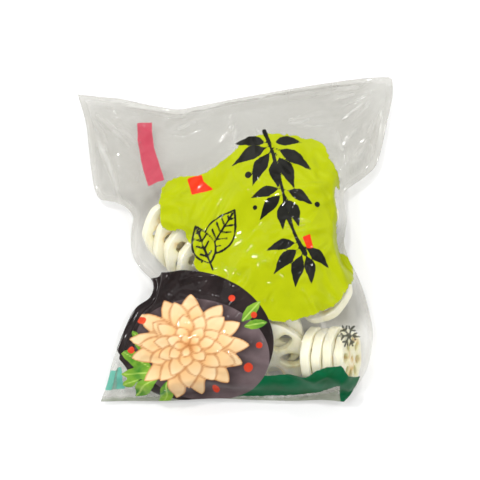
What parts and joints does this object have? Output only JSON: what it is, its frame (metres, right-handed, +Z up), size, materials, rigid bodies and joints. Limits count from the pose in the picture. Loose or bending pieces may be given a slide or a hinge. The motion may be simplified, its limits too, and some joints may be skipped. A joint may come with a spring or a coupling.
{
  "type": "sealed bag of sliced lotus root",
  "caption": "Clear heat-sealed plastic pouch packed with leaning slices of lotus root, printed in bright green on its front, with an empty crimped head.",
  "frame": {"origin": "on the surface that the pouch lies on, under the middle of its outline", "axes": "+X across the pouch, +Y towards its empty head, +Z up through the printed front"},
  "size_m": [0.2392, 0.2472, 0.0457],
  "materials": {
    "printed_film": "glossy film with bright green print",
    "clear_film": "glossy clear film",
    "lotus_flesh": "moist cream flesh"
  },
  "bodies": {
    "root": {"film_front": "printed_film", "film_back": "clear_film", "slice_01": "lotus_flesh", "slice_02": "lotus_flesh", "slice_03": "lotus_flesh", "slice_04": "lotus_flesh", "slice_05": "lotus_flesh", "slice_06": "lotus_flesh", "slice_07": "lotus_flesh", "slice_08": "lotus_flesh", "slice_09": "lotus_flesh", "slice_10": "lotus_flesh", "slice_11": "lotus_flesh", "slice_12": "lotus_flesh", "slice_13": "lotus_flesh", "slice_14": "lotus_flesh", "slice_15": "lotus_flesh", "slice_16": "lotus_flesh", "slice_17": "lotus_flesh", "slice_18": "lotus_flesh", "slice_19": "lotus_flesh", "slice_20": "lotus_flesh", "slice_21": "lotus_flesh", "slice_22": "lotus_flesh", "slice_23": "lotus_flesh", "slice_24": "lotus_flesh", "slice_25": "lotus_flesh", "slice_26": "lotus_flesh", "slice_27": "lotus_flesh"}
  },
  "joints": []
}
